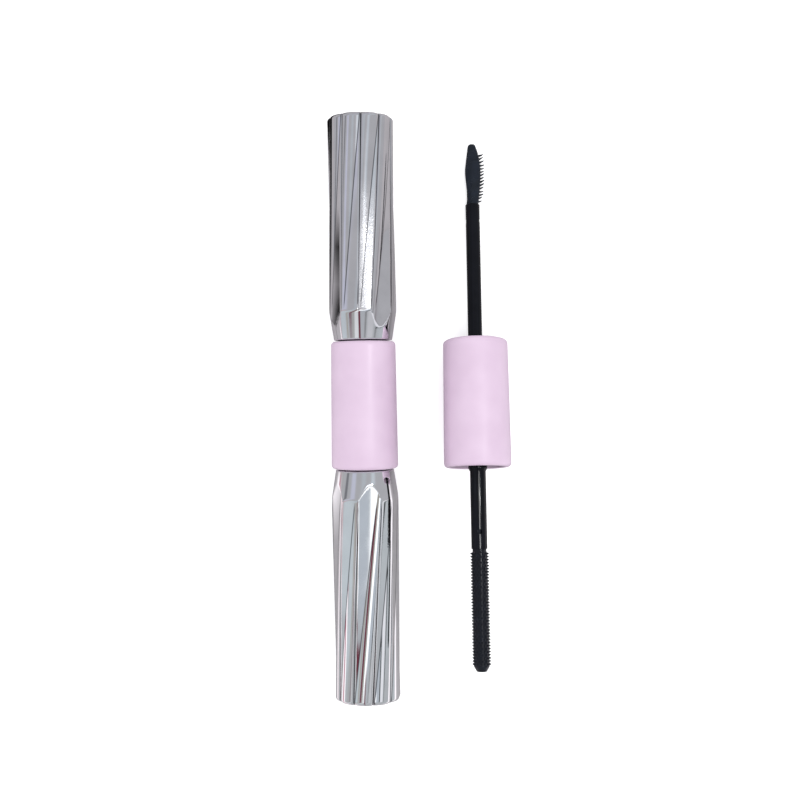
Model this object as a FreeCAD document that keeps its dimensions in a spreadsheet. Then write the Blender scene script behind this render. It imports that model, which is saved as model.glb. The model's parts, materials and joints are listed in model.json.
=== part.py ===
"""A double-ended mascara, screwed shut, with a second wand unit lying open beside it.

The wand unit has a short collar in its middle. A rod leaves each end of the collar: one carries
a comb head, the other a brush head. A vial screws over each rod, and is a bottle inside a
plated shell with ten twisted panels. Both units lie on one surface, long axes along Y, comb
ends towards +Y. All sizes are in millimetres.

Pieces that belong to an end of the wand are drawn upright about their own Z axis, which starts
at the middle of the collar and points out of that end, and are then laid down by a placement.
"""

import FreeCAD, Part
import math
import os
import re

import Sketcher

SIZES = [
    ("collar_length", 32.4, "collar, end to end"),
    ("collar_comb_radius", 8.2, "collar's outside at its comb end"),
    ("collar_brush_radius", 8.5, "collar's outside at its brush end"),
    ("collar_edge", 1.0, "rounding of the collar's outer rims"),
    ("collar_mouth_edge", 0.3, "rounding of the collar's inner rims"),
    ("collar_web", 1.6, "disc across the middle of the collar"),
    ("socket_recess", 1.4, "from the collar's end in to the socket's rim"),
    ("socket_wall", 0.85, "wall of a threaded socket"),
    ("socket_floor", 3.2, "floor of a socket, which the rod passes through"),
    ("socket_fit", 0.1, "clearance of a socket in the collar"),
    ("gasket_thickness", 1.0, "sealing ring on a socket's floor"),
    ("gasket_margin", 0.3, "from the gasket's rim to the socket's bore"),
    ("seal_gap", 0.05, "between gasket and wiper when closed"),
    ("wiper_flange", 0.6, "flange of the wiper on the bottle's lip"),
    ("wiper_wall", 0.5, "wall of the wiper"),
    ("wiper_sleeve", 8.4, "straight part of the wiper, below its flange"),
    ("wiper_cone", 4.0, "narrowing part of the wiper"),
    ("wiper_lip", 0.8, "orifice that wipes the rod"),
    ("wiper_fit", 0.04, "clearance of the wiper in the neck"),
    ("wipe_gap", 0.1, "clearance of the orifice round the rod"),
    ("neck_radius", 4.95, "outside of the bottle's neck"),
    ("neck_bore", 4.0, "inside of the bottle's neck"),
    ("thread_pitch", 2.0, "from one thread to the next"),
    ("thread_height", 0.7, "height of a thread"),
    ("thread_root", 1.2, "width of a thread at its foot"),
    ("thread_crest", 0.5, "width of a thread at its top"),
    ("thread_rise", 3.4, "climb of one thread along the axis"),
    ("thread_start", 0.6, "from the bottle's lip to its first thread"),
    ("thread_play", 0.2, "clearance above each thread"),
    ("bottle_radius", 6.4, "outside of the bottle"),
    ("bottle_wall", 1.0, "wall of the bottle"),
    ("bottle_floor", 1.1, "closed end of the bottle"),
    ("shoulder_rise", 1.2, "shoulder between the bottle's neck and its body"),
    ("collar_gap", 0.3, "dark joint between the collar and a shell"),
    ("comb_shell_length", 56.4, "plated shell of the comb end, end to end"),
    ("brush_shell_length", 58.6, "plated shell of the brush end, end to end"),
    ("shell_radius", 8.6, "shell over the ridges of its panels"),
    ("shell_groove_radius", 7.75, "shell in the grooves at its closed end"),
    ("shell_neck_radius", 7.4, "shell where it meets the collar"),
    ("shell_neck_length", 8.2, "smooth cone next to the collar"),
    ("shell_floor", 1.7, "closed end of the shell"),
    ("shell_edge", 1.3, "rounding of the shell's closed end"),
    ("shell_fit", 0.05, "clearance of the bottle in its shell"),
    ("panel_twist", 21, "turn of the panels from collar to closed end, in degrees"),
    ("comb_shell_turn", 1.3, "where the first panel of the comb end starts, in degrees"),
    ("brush_shell_turn", 22.2, "where the first panel of the brush end starts, in degrees"),
    ("rod_head_radius", 3.4, "head that holds a rod in its socket"),
    ("rod_head_thickness", 1.2, "thickness of that head"),
    ("rod_fit", 0.05, "clearance of the rod's pieces in each other"),
    ("rod_root_radius", 2.4, "thicker root of a rod"),
    ("rod_root_reach", 0.2, "root beyond the collar's end"),
    ("rod_root_taper", 0.8, "length over which the root thins to the rod"),
    ("comb_rod_radius", 1.82, "rod of the comb end"),
    ("comb_rod_reach", 35.7, "that rod beyond the collar's end"),
    ("brush_rod_radius", 2.0, "rod of the brush end"),
    ("brush_rod_reach", 20.4, "that rod beyond the collar's end"),
    ("shank_radius", 1.1, "shank of an applicator, inside its rod"),
    ("shank_length", 6.5, "length of that shank"),
    ("window_radius", 0.65, "round windows in a rod that the shank's peg snaps into"),
    ("window_setback", 4.3, "window from the rod's tip"),
    ("brush_length", 30.0, "brush head beyond its rod"),
    ("brush_core_radius", 1.95, "core of the brush"),
    ("brush_neck_radius", 1.75, "bare neck between rod and rings"),
    ("brush_neck", 0.9, "length of that neck"),
    ("brush_tip_radius", 1.2, "blunt tip of the brush"),
    ("brush_tip", 1.3, "length of the tip"),
    ("ring_radius", 2.4, "rings of nubs, over their tops"),
    ("ring_width", 0.45, "one ring at its foot"),
    ("ring_pitch", 0.75, "from one ring to the next"),
    ("ring_count", 37, "number of rings"),
    ("comb_length", 16.2, "comb head beyond its rod"),
    ("comb_thickness", 2.6, "comb head from face to face"),
    ("comb_tip_thickness", 1.5, "comb head's tip from face to face"),
    ("comb_back", 1.8, "bulge of the comb's back, from the axis"),
    ("comb_front", 2.3, "bulge of the comb's toothed side, from the axis"),
    ("comb_foot", 1.5, "comb's half width at its rod"),
    ("comb_tip_half", 0.9, "comb's half width at its tip"),
    ("tooth_reach", 3.3, "tips of the teeth, from the axis"),
    ("tooth_width", 0.42, "one tooth along the comb"),
    ("tooth_thickness", 0.6, "one tooth across the comb"),
    ("tooth_pitch", 0.85, "from one tooth to the next"),
    ("tooth_count", 15, "number of teeth"),
    ("unit_spacing", 28.6, "between the axes of the two units"),
]
PANELS = 10
THREAD_STARTS = 2
SHELL_SECTIONS = 4
ENVELOPE_SLACK = 0.1  # the shell's outer envelope clears the ridges by this much
RIDGE_BULGE = 0.031  # the twisted ridges stand this much above the shell's radius
CREASE_AT_COLLAR = 0.08  # where the crease crosses a panel, as a share of the panel's width
CREASE_AT_CLOSED_END = 0.94
ROD_BORE_SLACK = 0.5  # the bore for a shank is deeper than the shank by this much
WINDOW_PLANES = {"comb": "YZ_Plane", "brush": "XZ_Plane"}
PEG_SINK = 0.15  # how far a peg stays below the outside of its rod
OVERLAP = 0.1  # how far a thread, ring or tooth is rooted in the piece that it grows from
TINY = 1e-4

# places along an end of the tube, from the middle of the collar outwards
SOCKET_BACK = "(collar_web / 2)"
SOCKET_INSIDE = f"({SOCKET_BACK} + socket_floor)"
GASKET_TOP = f"({SOCKET_INSIDE} + gasket_thickness)"
WIPER_TOP = f"({GASKET_TOP} + seal_gap)"
BOTTLE_LIP = f"({WIPER_TOP} + wiper_flange)"
COLLAR_END = "(collar_length / 2)"
SOCKET_RIM = f"({COLLAR_END} - socket_recess)"
SHELL_FOOT = f"({COLLAR_END} + collar_gap)"
SHOULDER_FOOT = f"({COLLAR_END} - shoulder_rise / 2)"
SHOULDER_TOP = f"({COLLAR_END} + shoulder_rise / 2)"

# radii that follow from what fits inside
SOCKET_BORE = "(neck_radius + thread_height + thread_play)"
SOCKET_RADIUS = f"({SOCKET_BORE} + socket_wall)"
COLLAR_BORE = f"({SOCKET_RADIUS} + socket_fit)"
ROD_HOLE = "(rod_root_radius + rod_fit)"

doc = FreeCAD.newDocument("DoubleEndedMascara")
sheet = doc.addObject("Spreadsheet::Sheet", "Sizes")
for row, (alias, number, meaning) in enumerate(SIZES, start=1):
    sheet.set(f"A{row}", alias)
    sheet.set(f"B{row}", str(number))
    sheet.set(f"C{row}", meaning)
    sheet.setAlias(f"B{row}", alias)
doc.recompute()

pieces = []


def bound(text):
    """An expression over the sheet's names, in the form that other objects refer to them."""
    return re.sub(r"\b(?!min\b)[a-z]\w*", lambda word: "Sizes." + word.group(), text)


def worth(text):
    """What an expression over the sheet's names comes to."""
    return float(sheet.evalExpression(bound(text)))


def new_body(label, placement):
    """An empty body that becomes one piece of the object."""
    body = doc.addObject("PartDesign::Body", label)
    body.Label = label
    body.Placement = placement
    pieces.append(body)
    return body


def outline(body, name, role, corners):
    """A closed outline on one of the body's origin planes, with each corner bound to the sheet."""
    sketch = body.newObject("Sketcher::SketchObject", name)
    plane = next(item for item in body.Origin.OriginFeatures if item.Role == role)
    sketch.AttachmentSupport = [(plane, "")]
    sketch.MapMode = "FlatFace"
    points = [FreeCAD.Vector(worth(x), worth(y), 0) for x, y in corners]
    for start, end in zip(points, points[1:] + points[:1]):
        sketch.addGeometry(Part.LineSegment(start, end), False)
    for line, corner in enumerate(corners):
        following = (line + 1) % len(corners)
        sketch.addConstraint(Sketcher.Constraint("Coincident", line, 2, following, 1))
        for kind, axis, text in zip(("DistanceX", "DistanceY"), (-2, -1), corner):
            if text == "0":
                sketch.addConstraint(Sketcher.Constraint("PointOnObject", line, 1, axis))
                continue
            size = Sketcher.Constraint(kind, -1, 1, line, 1, worth(text))
            sketch.setExpression(f"Constraints[{sketch.addConstraint(size)}]", bound(text))
    return sketch


def disc(body, name, role, radius, centre):
    """A circle on one of the body's origin planes, its centre on the axis at a given height."""
    sketch = body.newObject("Sketcher::SketchObject", name)
    plane = next(item for item in body.Origin.OriginFeatures if item.Role == role)
    sketch.AttachmentSupport = [(plane, "")]
    sketch.MapMode = "FlatFace"
    circle = Part.Circle(FreeCAD.Vector(0, worth(centre), 0), FreeCAD.Vector(0, 0, 1), worth(radius))
    sketch.addGeometry(circle, False)
    sketch.addConstraint(Sketcher.Constraint("PointOnObject", 0, 3, -2))
    height = sketch.addConstraint(Sketcher.Constraint("DistanceY", -1, 1, 0, 3, worth(centre)))
    size = sketch.addConstraint(Sketcher.Constraint("Radius", 0, worth(radius)))
    sketch.setExpression(f"Constraints[{height}]", bound(centre))
    sketch.setExpression(f"Constraints[{size}]", bound(radius))
    return sketch


def turned(body, name, corners):
    """A turned form about the body's own axis. Corners are radius and height."""
    form = body.newObject("PartDesign::Revolution", name)
    form.Profile = outline(body, name + "Outline", "XZ_Plane", corners)
    form.ReferenceAxis = (form.Profile[0], ["V_Axis"])
    form.Angle = 360
    body.Tip = form
    return form


def round_rims(body, name, radius, rims):
    """Rounds circular edges of the body's last feature. Rims are pairs of radius and height."""
    doc.recompute()
    base = body.Tip
    found = []
    for number, edge in enumerate(base.Shape.Edges, start=1):
        if not isinstance(edge.Curve, Part.Circle):
            continue
        for rim_radius, height in rims:
            same_size = abs(edge.Curve.Radius - worth(rim_radius)) < TINY
            if same_size and abs(edge.Curve.Center.z - worth(height)) < TINY:
                found.append(f"Edge{number}")
    fillet = body.newObject("PartDesign::Fillet", name)
    fillet.Base = (base, found)
    fillet.setExpression("Radius", bound(radius))
    body.Tip = fillet


def add_thread(body, foot_radius, crest_radius, middle):
    """The two starts of a right-hand thread, from the height of its first middle upwards."""
    root, crest = f"({middle} - thread_root / 2)", f"({middle} - thread_crest / 2)"
    ridge = [
        (foot_radius, root),
        (crest_radius, crest),
        (crest_radius, f"({middle} + thread_crest / 2)"),
        (foot_radius, f"({middle} + thread_root / 2)"),
    ]
    helix = body.newObject("PartDesign::AdditiveHelix", "Thread")
    helix.Profile = outline(body, "ThreadOutline", "XZ_Plane", ridge)
    helix.ReferenceAxis = (helix.Profile[0], ["V_Axis"])
    helix.Mode = "pitch-height-angle"
    helix.setExpression("Pitch", bound(f"thread_pitch * {THREAD_STARTS}"))
    helix.setExpression("Height", bound("thread_rise"))
    helix.LeftHanded = False
    body.Tip = helix
    doc.recompute()
    starts = body.newObject("PartDesign::PolarPattern", "ThreadStarts")
    starts.Originals = [helix]
    starts.Axis = (helix.Profile[0], ["V_Axis"])
    starts.Angle = 360
    starts.Occurrences = THREAD_STARTS
    body.Tip = starts


def repeat_along_axis(body, name, original, sketch, pitch, count):
    """Copies a feature along the body's axis. Pitch and count are names in the sheet."""
    doc.recompute()
    pattern = body.newObject("PartDesign::LinearPattern", name)
    pattern.Originals = [original]
    pattern.Direction = (sketch, ["V_Axis"])
    pattern.setExpression("Length", bound(f"{pitch} * ({count} - 1)"))
    pattern.setExpression("Occurrences", bound(count))
    body.Tip = pattern


# ---------------------------------------------------------------------------- the wand unit


def make_collar(label, placement):
    """The moulded grip: a slightly tapered sleeve with a disc across its middle."""
    body = new_body(label, placement)
    turned(
        body,
        "Sleeve",
        [
            ("0", f"-{SOCKET_BACK}"),
            (COLLAR_BORE, f"-{SOCKET_BACK}"),
            (COLLAR_BORE, f"-{COLLAR_END}"),
            ("collar_brush_radius", f"-{COLLAR_END}"),
            ("collar_comb_radius", COLLAR_END),
            (COLLAR_BORE, COLLAR_END),
            (COLLAR_BORE, SOCKET_BACK),
            ("0", SOCKET_BACK),
        ],
    )
    outer = [("collar_comb_radius", COLLAR_END), ("collar_brush_radius", f"-{COLLAR_END}")]
    mouths = [(COLLAR_BORE, COLLAR_END), (COLLAR_BORE, f"-{COLLAR_END}")]
    wall = f"(collar_comb_radius - {COLLAR_BORE})"
    round_rims(body, "OuterRims", f"min(collar_edge; {wall} * 0.75)", outer)
    round_rims(body, "Mouths", f"min(collar_mouth_edge; {wall} * 0.2)", mouths)


def make_socket(label, placement):
    """A threaded cup, pressed into one end of the collar. Its floor holds the rod."""
    body = new_body(label, placement)
    head_pocket = f"({SOCKET_BACK} + rod_head_thickness + rod_fit * 2)"
    turned(
        body,
        "Cup",
        [
            ("rod_head_radius + rod_fit", SOCKET_BACK),
            (SOCKET_RADIUS, SOCKET_BACK),
            (SOCKET_RADIUS, SOCKET_RIM),
            (SOCKET_BORE, SOCKET_RIM),
            (SOCKET_BORE, SOCKET_INSIDE),
            (ROD_HOLE, SOCKET_INSIDE),
            (ROD_HOLE, head_pocket),
            ("rod_head_radius + rod_fit", head_pocket),
        ],
    )
    middle = f"({BOTTLE_LIP} + thread_start + thread_root / 2 + thread_pitch / 2)"
    add_thread(body, f"({SOCKET_BORE} + {OVERLAP})", "(neck_radius + thread_play)", middle)


def make_gasket(label, placement):
    """A soft ring on the socket's floor, which the wiper's flange seals against."""
    body = new_body(label, placement)
    rim = f"({SOCKET_BORE} - gasket_margin)"
    turned(
        body,
        "Ring",
        [
            (ROD_HOLE, SOCKET_INSIDE),
            (rim, SOCKET_INSIDE),
            (rim, GASKET_TOP),
            (ROD_HOLE, GASKET_TOP),
        ],
    )


def rod_tip(side):
    """The height of a rod's tip. The side is comb or brush."""
    return f"({COLLAR_END} + {side}_rod_reach)"


def shell_end(side):
    """The height of a shell's closed end."""
    return f"({SHELL_FOOT} + {side}_shell_length)"


def bottle_end(side):
    """The height of a bottle's closed end."""
    return f"({shell_end(side)} - shell_floor)"


def make_rod(label, placement, side):
    """A moulded rod: a head behind the socket's floor, a root, and a tip that takes a shank."""
    body = new_body(label, placement)
    radius = f"{side}_rod_radius"
    root_end = f"({COLLAR_END} + rod_root_reach)"
    head_top = f"({SOCKET_BACK} + rod_head_thickness + rod_fit)"
    bore = "(shank_radius + rod_fit)"
    bore_floor = f"({rod_tip(side)} - shank_length - {ROD_BORE_SLACK})"
    turned(
        body,
        "Stem",
        [
            ("0", f"({SOCKET_BACK} + rod_fit)"),
            ("rod_head_radius", f"({SOCKET_BACK} + rod_fit)"),
            ("rod_head_radius", head_top),
            ("rod_root_radius", head_top),
            ("rod_root_radius", root_end),
            (radius, f"({root_end} + rod_root_taper)"),
            (radius, rod_tip(side)),
            (bore, rod_tip(side)),
            (bore, bore_floor),
            ("0", bore_floor),
        ],
    )
    windows = body.newObject("PartDesign::Pocket", "Windows")
    centre = f"({rod_tip(side)} - window_setback)"
    windows.Profile = disc(body, "WindowOutline", WINDOW_PLANES[side], "window_radius", centre)
    windows.Type = "Length"
    windows.SideType = "Symmetric"
    windows.setExpression("Length", bound(f"{radius} * 4"))
    body.Tip = windows


def add_shank(body, side):
    """The shank of an applicator, with the peg that snaps into the rod's windows."""
    tip = rod_tip(side)
    foot = f"({tip} - shank_length)"
    turned(body, "Shank", [("0", foot), ("shank_radius", foot), ("shank_radius", tip), ("0", tip)])
    peg = body.newObject("PartDesign::Pad", "Peg")
    centre = f"({tip} - window_setback)"
    radius = "(window_radius - rod_fit)"
    peg.Profile = disc(body, "PegOutline", WINDOW_PLANES[side], radius, centre)
    peg.SideType = "Symmetric"
    peg.setExpression("Length", bound(f"({side}_rod_radius - {PEG_SINK}) * 2"))
    body.Tip = peg


def make_brush_head(label, placement):
    """The moulded brush: a thick core with close rings of nubs and a blunt tip."""
    body = new_body(label, placement)
    add_shank(body, "brush")
    tip = rod_tip("brush")
    end = f"({tip} + brush_length)"
    turned(
        body,
        "Core",
        [
            ("0", tip),
            ("brush_neck_radius", tip),
            ("brush_neck_radius", f"({tip} + brush_neck * 0.7)"),
            ("brush_core_radius", f"({tip} + brush_neck)"),
            ("brush_core_radius", f"({end} - brush_tip)"),
            ("brush_tip_radius", end),
            ("0", end),
        ],
    )
    foot = f"({tip} + brush_neck)"
    ring = [
        (f"(brush_core_radius - {OVERLAP})", foot),
        ("brush_core_radius", foot),
        ("ring_radius", f"({foot} + ring_width * 0.35)"),
        ("ring_radius", f"({foot} + ring_width * 0.65)"),
        ("brush_core_radius", f"({foot} + ring_width)"),
        (f"(brush_core_radius - {OVERLAP})", f"({foot} + ring_width)"),
    ]
    first = turned(body, "Ring", ring)
    repeat_along_axis(body, "Rings", first, first.Profile[0], "ring_pitch", "ring_count")


def make_comb_head(label, placement):
    """The moulded comb: a flat leaf with one row of teeth along its front."""
    body = new_body(label, placement)
    add_shank(body, "comb")
    tip = rod_tip("comb")
    end = f"({tip} + comb_length)"
    widest = f"({tip} + comb_length * 0.56)"
    shoulder = f"({tip} + comb_length * 0.8)"
    side_view = [
        ("-comb_foot", tip),
        ("comb_foot", tip),
        ("(comb_front * 0.87)", f"({tip} + comb_length * 0.25)"),
        ("comb_front", widest),
        ("(comb_front * 0.8)", shoulder),
        ("comb_tip_half", end),
        ("-comb_tip_half", end),
        ("-(comb_back * 0.75)", shoulder),
        ("-comb_back", widest),
        ("-(comb_back * 0.78)", f"({tip} + comb_length * 0.25)"),
    ]
    leaf = body.newObject("PartDesign::Pad", "Leaf")
    leaf.Profile = outline(body, "LeafSide", "XZ_Plane", side_view)
    leaf.SideType = "Symmetric"
    leaf.setExpression("Length", bound("comb_thickness"))
    body.Tip = leaf
    for side in ("", "-"):
        waste = [
            (f"{side}(comb_thickness / 2)", widest),
            (f"{side}(comb_thickness)", widest),
            (f"{side}(comb_thickness)", end),
            (f"{side}(comb_tip_thickness / 2)", end),
        ]
        thinning = body.newObject("PartDesign::Pocket", "Thinning")
        thinning.Profile = outline(body, "ThinningOutline", "YZ_Plane", waste)
        thinning.SideType = "Symmetric"
        thinning.setExpression("Length", bound("comb_front * 4"))
        body.Tip = thinning
    first_tooth = f"({tip} + comb_length * 0.05)"
    tooth_side = [
        (f"(comb_foot - {OVERLAP})", first_tooth),
        ("tooth_reach", f"({first_tooth} + tooth_width * 0.35)"),
        ("tooth_reach", f"({first_tooth} + tooth_width * 0.65)"),
        (f"(comb_foot - {OVERLAP})", f"({first_tooth} + tooth_width)"),
    ]
    tooth = body.newObject("PartDesign::Pad", "Tooth")
    tooth.Profile = outline(body, "ToothSide", "XZ_Plane", tooth_side)
    tooth.SideType = "Symmetric"
    tooth.setExpression("Length", bound("tooth_thickness"))
    body.Tip = tooth
    repeat_along_axis(body, "Teeth", tooth, tooth.Profile[0], "tooth_pitch", "tooth_count")


# ---------------------------------------------------------------------------------- a vial


def make_wiper(label, placement, side):
    """The soft insert in the bottle's neck. Its orifice wipes the rod."""
    body = new_body(label, placement)
    outside = "(neck_bore - wiper_fit)"
    inside = f"({outside} - wiper_wall)"
    orifice = f"({side}_rod_radius + wipe_gap)"
    sleeve_end = f"({BOTTLE_LIP} + wiper_sleeve)"
    cone_end = f"({sleeve_end} + wiper_cone)"
    turned(
        body,
        "Funnel",
        [
            (inside, WIPER_TOP),
            (f"({SOCKET_BORE} - gasket_margin * 3)", WIPER_TOP),
            (f"({SOCKET_BORE} - gasket_margin * 3)", BOTTLE_LIP),
            (outside, BOTTLE_LIP),
            (outside, sleeve_end),
            (f"({orifice} + wiper_wall)", cone_end),
            (f"({orifice} + wiper_wall)", f"({cone_end} + wiper_lip)"),
            (orifice, f"({cone_end} + wiper_lip)"),
            (orifice, cone_end),
            (inside, sleeve_end),
        ],
    )


def make_bottle(label, placement, side):
    """The moulded bottle, with a threaded neck that screws into the socket."""
    body = new_body(label, placement)
    cavity = "(bottle_radius - bottle_wall)"
    end = bottle_end(side)
    turned(
        body,
        "Bottle",
        [
            ("neck_bore", BOTTLE_LIP),
            ("neck_radius", BOTTLE_LIP),
            ("neck_radius", SHOULDER_FOOT),
            ("bottle_radius", SHOULDER_TOP),
            ("bottle_radius", end),
            ("0", end),
            ("0", f"({end} - bottle_floor)"),
            (cavity, f"({end} - bottle_floor)"),
            (cavity, f"({SHOULDER_TOP} + bottle_wall)"),
            ("neck_bore", f"({SHOULDER_FOOT} + bottle_wall)"),
        ],
    )
    middle = f"({BOTTLE_LIP} + thread_start + thread_root / 2)"
    foot = f"(neck_radius - {OVERLAP})"
    add_thread(body, foot, "(neck_radius + thread_height)", middle)


def polar(radius, degrees, height):
    angle = math.radians(degrees)
    return FreeCAD.Vector(radius * math.cos(angle), radius * math.sin(angle), height)


def between(low, high, share):
    return low + (high - low) * share


def panel_section(side, share):
    """One section of the shell's panels, at a share of the way from collar to closed end.

    Each panel has a rounded lobe and a flat facet, which meet in a crease. The facet fills the
    panel at the collar, and the lobe fills it at the closed end.
    """
    ridge = worth("shell_radius")
    groove = between(ridge, worth("shell_groove_radius"), share)
    crease_at = between(CREASE_AT_COLLAR, CREASE_AT_CLOSED_END, share)
    height = between(worth(SHELL_FOOT), worth(shell_end(side)), share)
    step = 360 / PANELS

    def lobe(part):
        return groove + (ridge - groove) * math.sqrt(1 - (2 * part - 1) ** 2)

    edges = []
    for panel in range(PANELS):
        left = panel * step + worth("panel_twist") * share
        start = polar(groove, left, height)
        bulge = polar(lobe(crease_at / 2), left + step * crease_at / 2, height)
        crease = polar(lobe(crease_at), left + step * crease_at, height)
        end = polar(groove, left + step, height)
        edges.append(Part.Arc(start, bulge, crease).toShape())
        edges.append(Part.LineSegment(crease, end).toShape())
    return Part.Wire(edges)


def shell_envelope(side):
    """What the panels are trimmed to: a smooth cone at the collar and a rounded closed end."""
    foot, end = worth(SHELL_FOOT), worth(shell_end(side))
    radius, edge = worth("shell_radius") + ENVELOPE_SLACK, worth("shell_edge")
    bend = edge * (1 - math.sqrt(0.5))
    corners = [
        FreeCAD.Vector(0, 0, foot),
        FreeCAD.Vector(worth("shell_neck_radius"), 0, foot),
        FreeCAD.Vector(radius, 0, foot + worth("shell_neck_length")),
        FreeCAD.Vector(radius, 0, end - edge),
        FreeCAD.Vector(radius - edge, 0, end),
        FreeCAD.Vector(0, 0, end),
    ]
    edges = [Part.LineSegment(a, b).toShape() for a, b in zip(corners[:3], corners[1:4])]
    rounded = Part.Arc(corners[3], FreeCAD.Vector(radius - bend, 0, end - bend), corners[4])
    edges.append(rounded.toShape())
    edges.append(Part.LineSegment(corners[4], corners[5]).toShape())
    edges.append(Part.LineSegment(corners[5], corners[0]).toShape())
    face = Part.Face(Part.Wire(edges))
    return face.revolve(FreeCAD.Vector(0, 0, 0), FreeCAD.Vector(0, 0, 1), 360)


def make_shell(label, placement, side):
    """The plated shell round a bottle: ten twisted panels, closed at its outer end."""
    shares = [number / (SHELL_SECTIONS - 1) for number in range(SHELL_SECTIONS)]
    panels = Part.makeLoft([panel_section(side, share) for share in shares], True, True)
    bore_radius = worth("bottle_radius + shell_fit")
    foot = worth(SHELL_FOOT) - 1
    depth = worth(bottle_end(side)) - foot
    bore = Part.makeCylinder(bore_radius, depth, FreeCAD.Vector(0, 0, foot))
    shell = doc.addObject("Part::Feature", label)
    shell.Label = label
    shell.Shape = panels.common(shell_envelope(side)).cut(bore)
    shell.Placement = placement
    pieces.append(shell)


# --------------------------------------------------------------------------- putting it together

X_AXIS = FreeCAD.Vector(1, 0, 0)
LIES_TO_COMB_END = FreeCAD.Placement(FreeCAD.Vector(), FreeCAD.Rotation(X_AXIS, -90))
LIES_TO_BRUSH_END = FreeCAD.Placement(FreeCAD.Vector(), FreeCAD.Rotation(X_AXIS, 90))
ENDS = {"comb": LIES_TO_COMB_END, "brush": LIES_TO_BRUSH_END}


def spin(degrees):
    """A turn about a piece's own axis."""
    return FreeCAD.Placement(FreeCAD.Vector(), FreeCAD.Rotation(FreeCAD.Vector(0, 0, 1), degrees))


def make_wand(name, unit):
    """The nine pieces of one wand unit, at the placement of its collar's middle."""
    make_collar(f"{name}_collar", unit * LIES_TO_COMB_END)
    for side, lying in ENDS.items():
        make_socket(f"{name}_{side}_socket", unit * lying)
        make_gasket(f"{name}_{side}_gasket", unit * lying)
        make_rod(f"{name}_{side}_rod", unit * lying, side)
    make_comb_head(f"{name}_comb_head", unit * LIES_TO_COMB_END)
    make_brush_head(f"{name}_brush_head", unit * LIES_TO_BRUSH_END)


def make_vials(unit):
    """The two vials that are screwed onto the closed unit."""
    for side, lying in ENDS.items():
        make_wiper(f"{side}_wiper", unit * lying, side)
        make_bottle(f"{side}_bottle", unit * lying, side)
        shell_turn = spin(worth(f"{side}_shell_turn"))
        make_shell(f"{side}_shell", unit * lying * shell_turn, side)


def open_wand_tilt():
    """The tilt of the open wand, in degrees, when its collar's comb rim and its comb's tip both
    touch the surface."""
    rim_centre = worth("collar_comb_radius - collar_edge")
    rim_height = worth(f"{COLLAR_END} - collar_edge")
    across = rim_centre - worth("comb_tip_thickness / 2")
    along = worth(f"{rod_tip('comb')} + comb_length") - rim_height
    lean = math.atan2(across, along)
    return math.degrees(lean + math.asin(worth("collar_edge") / math.hypot(across, along)))


def open_wand_height(tilt):
    """The height of the open wand's collar middle above the surface at that tilt."""
    angle = math.radians(tilt)
    rim_centre = worth("collar_comb_radius - collar_edge")
    rim_height = worth(f"{COLLAR_END} - collar_edge")
    return rim_centre * math.cos(angle) + rim_height * math.sin(angle) + worth("collar_edge")


half_spacing = worth("unit_spacing / 2")
along = worth("(brush_shell_length - comb_shell_length) / 2")  # centres the closed tube on Y
lying_height = worth("shell_radius") + RIDGE_BULGE
closed_unit = FreeCAD.Placement(
    FreeCAD.Vector(-half_spacing, along, lying_height), FreeCAD.Rotation()
)
tilt = open_wand_tilt()
open_unit = FreeCAD.Placement(
    FreeCAD.Vector(half_spacing, along, open_wand_height(tilt)), FreeCAD.Rotation(X_AXIS, -tilt)
)
make_wand("closed", closed_unit)
make_vials(closed_unit)
make_wand("open", open_unit)
doc.recompute()

for item in doc.Objects:
    if "Invalid" in item.State or "Error" in item.State:
        raise RuntimeError(f"{item.Label} failed: {item.State}")
for piece in pieces:
    if piece.Shape.isNull() or not piece.Shape.isValid():
        raise RuntimeError(f"{piece.Label} has no valid shape")
    if len(piece.Shape.Solids) != 1:
        raise RuntimeError(f"{piece.Label} is not one solid")

os.makedirs("parts", exist_ok=True)
for piece in pieces:
    piece.Shape.exportStep(f"parts/{piece.Label}.step")
    print(f"{piece.Label}: {piece.Shape.Volume:.1f} mm3")
print(f"the open wand tilts by {tilt:.2f} degrees")
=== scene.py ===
"""A double-ended mascara and a second, open wand unit, with their finishes, light and camera.

The pieces follow in the order in which the real ones are put together: the wand unit from its
collar outwards, and then the vial that screws onto each end. Sizes are in millimetres.
"""

import bmesh
import bpy
import json
import math
from mathutils import Euler, Matrix, Vector

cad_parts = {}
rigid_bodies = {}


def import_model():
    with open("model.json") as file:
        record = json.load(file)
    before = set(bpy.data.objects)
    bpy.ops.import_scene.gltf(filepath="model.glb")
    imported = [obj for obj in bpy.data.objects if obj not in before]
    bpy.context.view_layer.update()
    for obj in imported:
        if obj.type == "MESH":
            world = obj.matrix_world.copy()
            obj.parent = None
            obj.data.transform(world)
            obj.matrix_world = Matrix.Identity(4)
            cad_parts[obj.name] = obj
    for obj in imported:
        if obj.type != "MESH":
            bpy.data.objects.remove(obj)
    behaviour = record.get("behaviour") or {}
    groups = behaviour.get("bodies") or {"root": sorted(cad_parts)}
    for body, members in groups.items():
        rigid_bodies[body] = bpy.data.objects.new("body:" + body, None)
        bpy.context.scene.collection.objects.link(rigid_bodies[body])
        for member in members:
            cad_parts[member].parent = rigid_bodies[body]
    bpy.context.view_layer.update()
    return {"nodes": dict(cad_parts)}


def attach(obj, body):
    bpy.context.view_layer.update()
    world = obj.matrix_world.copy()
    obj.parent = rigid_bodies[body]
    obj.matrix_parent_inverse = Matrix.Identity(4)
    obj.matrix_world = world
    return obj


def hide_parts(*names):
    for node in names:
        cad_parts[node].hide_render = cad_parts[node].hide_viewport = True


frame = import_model()

# ------------------------------------------------------------------------------- the collars
# The grip in the middle of each wand unit. It is a moulded plastic sleeve with a disc across
# its middle, tapers slightly, and is sprayed with a satin pale pink-lilac lacquer.

MM = 0.001
COLLAR_END = 16.2
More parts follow.
